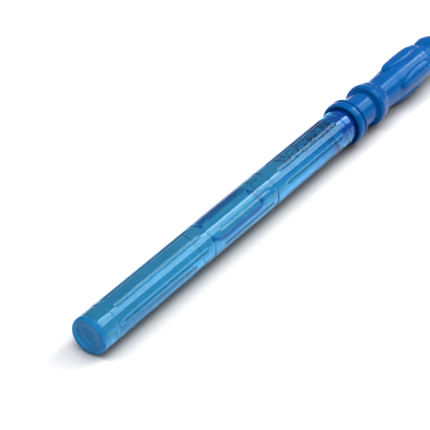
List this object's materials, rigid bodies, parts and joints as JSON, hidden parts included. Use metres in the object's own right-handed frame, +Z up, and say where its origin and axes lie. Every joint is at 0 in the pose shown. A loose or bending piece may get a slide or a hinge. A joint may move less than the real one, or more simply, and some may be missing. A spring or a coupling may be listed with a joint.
{
  "type": "bubble wand",
  "caption": "Clear tube of bubble solution with flutes and narrow waists, closed by a screw-on lobed handle that carries a long ribbed dipping loop.",
  "frame": {"origin": "middle of the wand's length, on the ground under its axis", "axes": "+X along the wand from the tube's base to the pommel, +Z up, the wand lying on its side"},
  "size_m": [0.424, 0.0316, 0.0316],
  "materials": {
    "clear_tube": "clear light-blue moulded plastic, glossy",
    "handle_blue": "saturated blue moulded plastic, soft gloss",
    "washer_white": "soft white foam sheet, matte",
    "stopper_blue": "slightly translucent blue plastic",
    "wand_blue": "blue moulded plastic, glossy when wet",
    "solution": "clear soapy water, seen only in the dressed model",
    "foam": "soap foam and small bubbles, seen only in the dressed model"
  },
  "bodies": {
    "bottle": {"tube": "clear_tube"},
    "washer": {"seal_washer": "washer_white"},
    "bead": {"skirt_ring": "handle_blue"},
    "handle": {"cap_shell": "handle_blue", "stopper": "stopper_blue", "wand": "wand_blue", "grip_shell": "handle_blue", "pommel_cap": "handle_blue"}
  },
  "joints": [
    {"name": "pull_out", "type": "slide", "parent": "bottle", "child": "washer", "axis": [1, 0, 0], "range_m": [0, 0.19]},
    {"name": "thread_rise", "type": "slide", "parent": "washer", "child": "bead", "axis": [1, 0, 0], "range_m": [0, 0.00451]},
    {"name": "unscrew", "type": "hinge", "parent": "bead", "child": "handle", "pos_m": [0.09, 0, 0.0158], "axis": [1, 0, 0], "range_deg": [0, 540]}
  ],
  "couplings": [
    {"joint": "thread_rise", "follows": "unscrew", "m_per_rad": 0.00047746}
  ]
}
